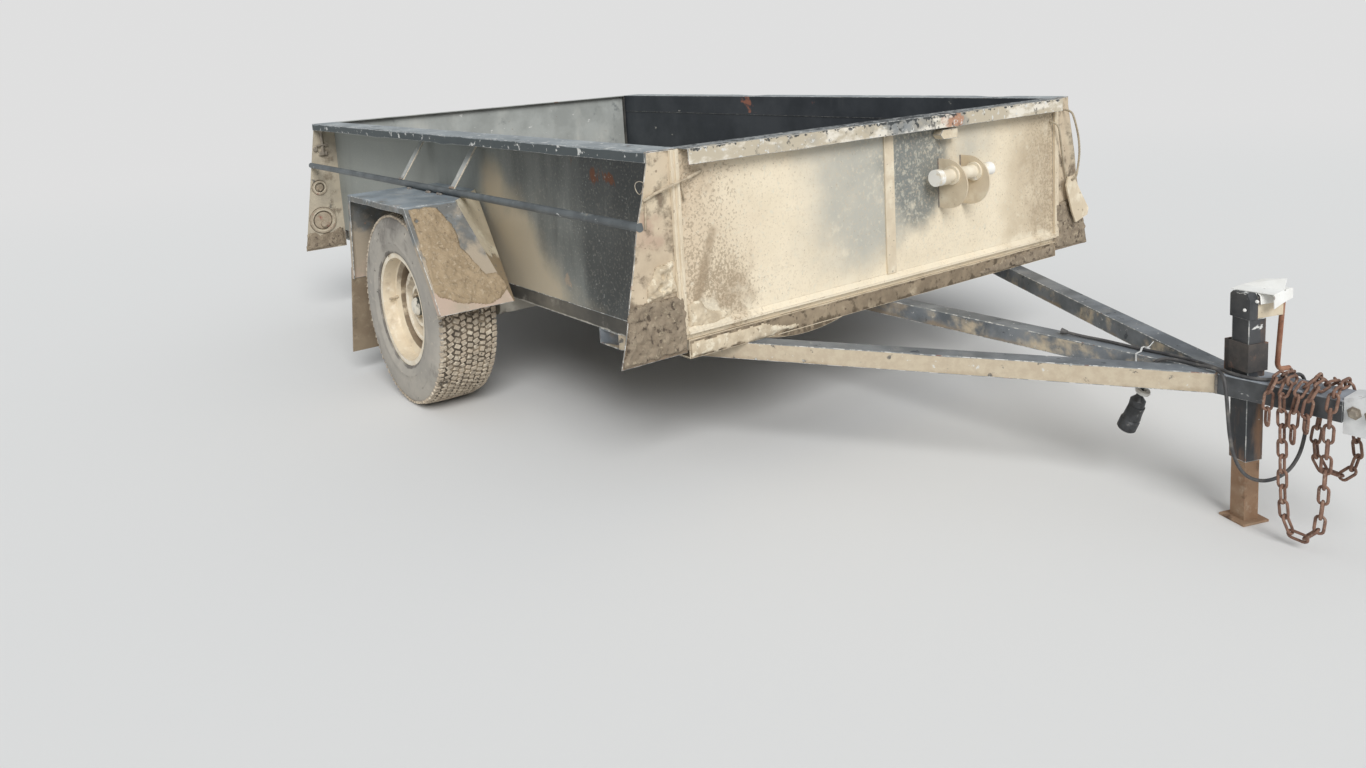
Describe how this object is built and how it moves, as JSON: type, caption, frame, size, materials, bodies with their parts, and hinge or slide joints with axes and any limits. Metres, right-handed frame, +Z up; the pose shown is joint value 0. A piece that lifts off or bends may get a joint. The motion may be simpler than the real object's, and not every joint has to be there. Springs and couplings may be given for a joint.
{
  "type": "single-axle utility trailer",
  "caption": "Single-axle steel box trailer with folded rails, corner wings, mudguards, A-frame drawbar, ball coupler and drop-leg jack.",
  "frame": {"origin": "on the ground under the middle of the whole length and width", "axes": "+X forward to the coupler, +Y left, +Z up"},
  "size_m": [4.374, 2.41, 0.945],
  "materials": {
    "tub_paint": "faded dusty dark paint, worn edges",
    "front_paint": "dark paint under dried pale mud",
    "wing_paint": "caked dry mud",
    "guard_paint": "faded paint, mud and rusty edges",
    "frame_paint": "worn dark paint, dusty sides",
    "bare_steel": "dirty bare steel",
    "rim_paint": "cream paint, dusty",
    "tyre": "dusty worn rubber",
    "rubber": "matt",
    "rope": "dirty pale rope",
    "galvanised": "galvanised, weathered",
    "jack_steel": "dark paint with rust",
    "rusty_chain": "rust",
    "plug_plastic": "matt black",
    "lamp_lens": "dusty lens"
  },
  "bodies": {
    "trailer": {"side_wall_right": "tub_paint", "side_wall_left": "tub_paint", "cap_rail_right": "tub_paint", "cap_rail_left": "tub_paint", "floor_sheet": "tub_paint", "tie_rails": "tub_paint", "tie_straps": "tub_paint", "front_panel": "front_paint", "front_rail": "front_paint", "front_rib": "front_paint", "panel_ears": "front_paint", "panel_bar": "front_paint", "panel_stub": "front_paint", "front_wings": "wing_paint", "rear_wings": "wing_paint", "front_sill": "wing_paint", "sill_strip": "wing_paint", "corner_seams": "wing_paint", "wing_tag": "wing_paint", "mudguard_right": "guard_paint", "mudguard_left": "guard_paint", "chassis_rails": "frame_paint", "rear_sill": "frame_paint", "crossmembers": "frame_paint", "drawbar_centre_beam": "frame_paint", "drawbar_side_beams": "frame_paint", "tongue_head": "frame_paint", "axle_tube": "frame_paint", "axle_arms": "frame_paint", "hinge_knuckles": "frame_paint", "hinge_pins": "bare_steel", "mudflaps": "rubber", "lighting_cable": "rubber", "cable_gland": "rubber", "wing_rope": "rope", "coupler_body": "galvanised", "coupler_latch": "galvanised", "coupler_shank": "galvanised", "jack_tube": "jack_steel", "jack_collar": "jack_steel", "jack_head": "jack_steel", "jack_crank": "jack_steel", "chain_right": "rusty_chain", "chain_left": "rusty_chain", "cable_plug": "plug_plastic", "tail_lamps": "lamp_lens"},
    "tailgate": {"tailgate": "tub_paint"},
    "jack_leg": {"jack_leg": "jack_steel", "jack_foot": "jack_steel"},
    "wheel_right": {"tyre_right": "tyre", "rim_right": "rim_paint", "hub_right": "bare_steel"},
    "wheel_left": {"tyre_left": "tyre", "rim_left": "rim_paint", "hub_left": "bare_steel"}
  },
  "joints": [
    {"name": "wheel_right_spin", "type": "hinge", "parent": "trailer", "child": "wheel_right", "pos_m": [-0.582, -1.072, 0.348], "axis": [0, 1, 0], "continuous": true},
    {"name": "wheel_left_spin", "type": "hinge", "parent": "trailer", "child": "wheel_left", "pos_m": [-0.582, 1.072, 0.348], "axis": [0, 1, 0], "continuous": true},
    {"name": "tailgate_hinge", "type": "hinge", "parent": "trailer", "child": "tailgate", "pos_m": [-2.176, 0, 0.4], "axis": [0, -1, 0], "range_deg": [0, 90]},
    {"name": "jack_slide", "type": "slide", "parent": "trailer", "child": "jack_leg", "axis": [0, 0, 1], "range_m": [0, 0.14]}
  ]
}
